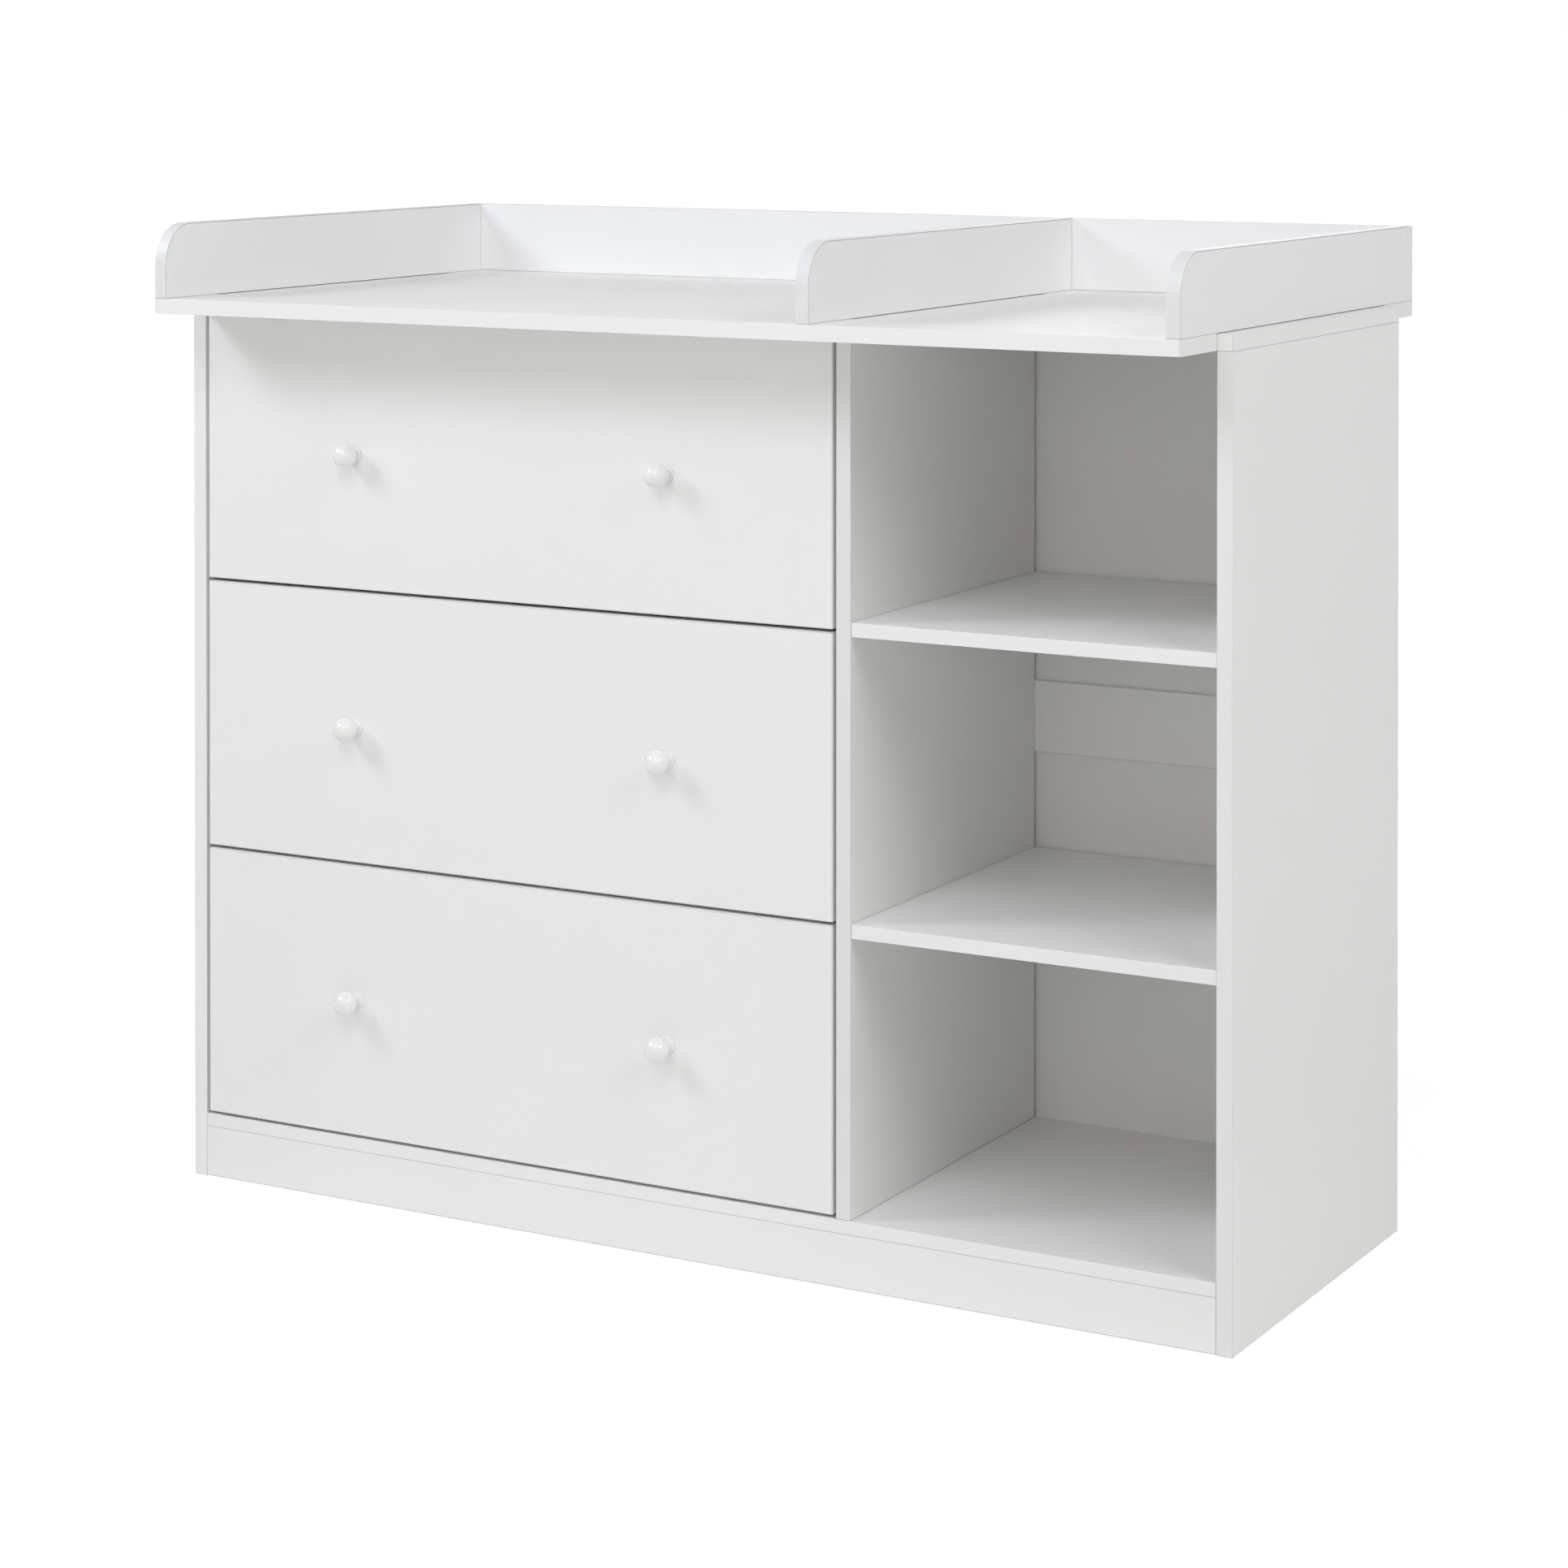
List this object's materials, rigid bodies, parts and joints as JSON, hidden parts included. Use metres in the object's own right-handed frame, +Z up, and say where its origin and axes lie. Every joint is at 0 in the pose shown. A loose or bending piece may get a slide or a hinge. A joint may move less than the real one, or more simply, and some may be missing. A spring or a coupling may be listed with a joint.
{
  "type": "changing dresser",
  "caption": "White nursery dresser with flush drawers on ball knobs, an open bay with shelves and a walled changing surface on top.",
  "frame": {"origin": "on the floor under the centre of the outer box", "axes": "+X to the user's right along the width, +Y to the back (the drawers face -Y), +Z up"},
  "size_m": [1.2, 0.61, 1.027],
  "materials": {
    "carcass_board": "white melamine-faced board, satin",
    "wall_board": "white foil-faced board, satin",
    "drawer_front_board": "white melamine-faced board, satin",
    "drawer_box_board": "white foil-wrapped board, matt",
    "thin_board": "white-coated hardboard, matt",
    "knob_lacquer": "white lacquer, semi-gloss",
    "runner_steel": "white epoxy coat, semi-gloss",
    "roller_nylon": "natural nylon",
    "zinc_steel": "zinc-plated",
    "beech": "bare beech",
    "felt": "self-adhesive felt"
  },
  "bodies": {
    "cabinet": {"back_panel_lower": "thin_board", "back_panel_upper": "thin_board", "back_rail": "carcass_board", "bottom_panel": "carcass_board", "cabinet_runners_left": "runner_steel", "cabinet_runners_right": "runner_steel", "cam_bolts": "zinc_steel", "cam_locks": "zinc_steel", "centre_partition": "carcass_board", "changing_front_board": "carcass_board", "changing_pads": "felt", "changing_rear_strip": "carcass_board", "changing_screws": "zinc_steel", "changing_wall_left": "wall_board", "changing_wall_middle": "wall_board", "changing_wall_rear": "wall_board", "changing_wall_right": "wall_board", "plinth_front": "carcass_board", "plinth_rear": "carcass_board", "runner_screws": "zinc_steel", "shelf_lower": "carcass_board", "shelf_upper": "carcass_board", "side_panel_left": "carcass_board", "side_panel_right": "carcass_board", "top_panel": "carcass_board", "wooden_dowels": "beech"},
    "top_drawer": {"drawer_1_front": "drawer_front_board", "drawer_1_side_left": "drawer_box_board", "drawer_1_side_right": "drawer_box_board", "drawer_1_back": "drawer_box_board", "drawer_1_bottom": "thin_board", "drawer_1_knobs": "knob_lacquer", "drawer_1_knob_screws": "zinc_steel", "drawer_1_runner_left": "runner_steel", "drawer_1_runner_right": "runner_steel"},
    "top_drawer_rollers": {"drawer_1_rollers": "roller_nylon"},
    "top_cabinet_rollers": {"drawer_1_cabinet_rollers": "roller_nylon"},
    "middle_drawer": {"drawer_2_front": "drawer_front_board", "drawer_2_side_left": "drawer_box_board", "drawer_2_side_right": "drawer_box_board", "drawer_2_back": "drawer_box_board", "drawer_2_bottom": "thin_board", "drawer_2_knobs": "knob_lacquer", "drawer_2_knob_screws": "zinc_steel", "drawer_2_runner_left": "runner_steel", "drawer_2_runner_right": "runner_steel"},
    "middle_drawer_rollers": {"drawer_2_rollers": "roller_nylon"},
    "middle_cabinet_rollers": {"drawer_2_cabinet_rollers": "roller_nylon"},
    "bottom_drawer": {"drawer_3_front": "drawer_front_board", "drawer_3_side_left": "drawer_box_board", "drawer_3_side_right": "drawer_box_board", "drawer_3_back": "drawer_box_board", "drawer_3_bottom": "thin_board", "drawer_3_knobs": "knob_lacquer", "drawer_3_knob_screws": "zinc_steel", "drawer_3_runner_left": "runner_steel", "drawer_3_runner_right": "runner_steel"},
    "bottom_drawer_rollers": {"drawer_3_rollers": "roller_nylon"},
    "bottom_cabinet_rollers": {"drawer_3_cabinet_rollers": "roller_nylon"}
  },
  "joints": [
    {"name": "top_drawer_slide", "type": "slide", "parent": "cabinet", "child": "top_drawer", "axis": [0, -1, 0], "range_m": [0, 0.27]},
    {"name": "top_cabinet_roller_spin", "type": "hinge", "parent": "cabinet", "child": "top_cabinet_rollers", "pos_m": [-0.2, -0.187, 0.6641], "axis": [1, 0, 0], "range_deg": [0, 1548]},
    {"name": "top_drawer_roller_spin", "type": "hinge", "parent": "top_drawer", "child": "top_drawer_rollers", "pos_m": [-0.2, 0.133, 0.6609], "axis": [1, 0, 0], "range_deg": [0, 1720]},
    {"name": "middle_drawer_slide", "type": "slide", "parent": "cabinet", "child": "middle_drawer", "axis": [0, -1, 0], "range_m": [0, 0.27]},
    {"name": "middle_cabinet_roller_spin", "type": "hinge", "parent": "cabinet", "child": "middle_cabinet_rollers", "pos_m": [-0.2, -0.187, 0.3773], "axis": [1, 0, 0], "range_deg": [0, 1548]},
    {"name": "middle_drawer_roller_spin", "type": "hinge", "parent": "middle_drawer", "child": "middle_drawer_rollers", "pos_m": [-0.2, 0.133, 0.3741], "axis": [1, 0, 0], "range_deg": [0, 1720]},
    {"name": "bottom_drawer_slide", "type": "slide", "parent": "cabinet", "child": "bottom_drawer", "axis": [0, -1, 0], "range_m": [0, 0.27]},
    {"name": "bottom_cabinet_roller_spin", "type": "hinge", "parent": "cabinet", "child": "bottom_cabinet_rollers", "pos_m": [-0.2, -0.187, 0.0905], "axis": [1, 0, 0], "range_deg": [0, 1548]},
    {"name": "bottom_drawer_roller_spin", "type": "hinge", "parent": "bottom_drawer", "child": "bottom_drawer_rollers", "pos_m": [-0.2, 0.133, 0.0873], "axis": [1, 0, 0], "range_deg": [0, 1720]}
  ],
  "couplings": [
    {"joint": "top_cabinet_roller_spin", "follows": "top_drawer_slide", "rad_per_m": 100},
    {"joint": "top_drawer_roller_spin", "follows": "top_drawer_slide", "rad_per_m": 111.11},
    {"joint": "middle_cabinet_roller_spin", "follows": "middle_drawer_slide", "rad_per_m": 100},
    {"joint": "middle_drawer_roller_spin", "follows": "middle_drawer_slide", "rad_per_m": 111.11},
    {"joint": "bottom_cabinet_roller_spin", "follows": "bottom_drawer_slide", "rad_per_m": 100},
    {"joint": "bottom_drawer_roller_spin", "follows": "bottom_drawer_slide", "rad_per_m": 111.11}
  ]
}
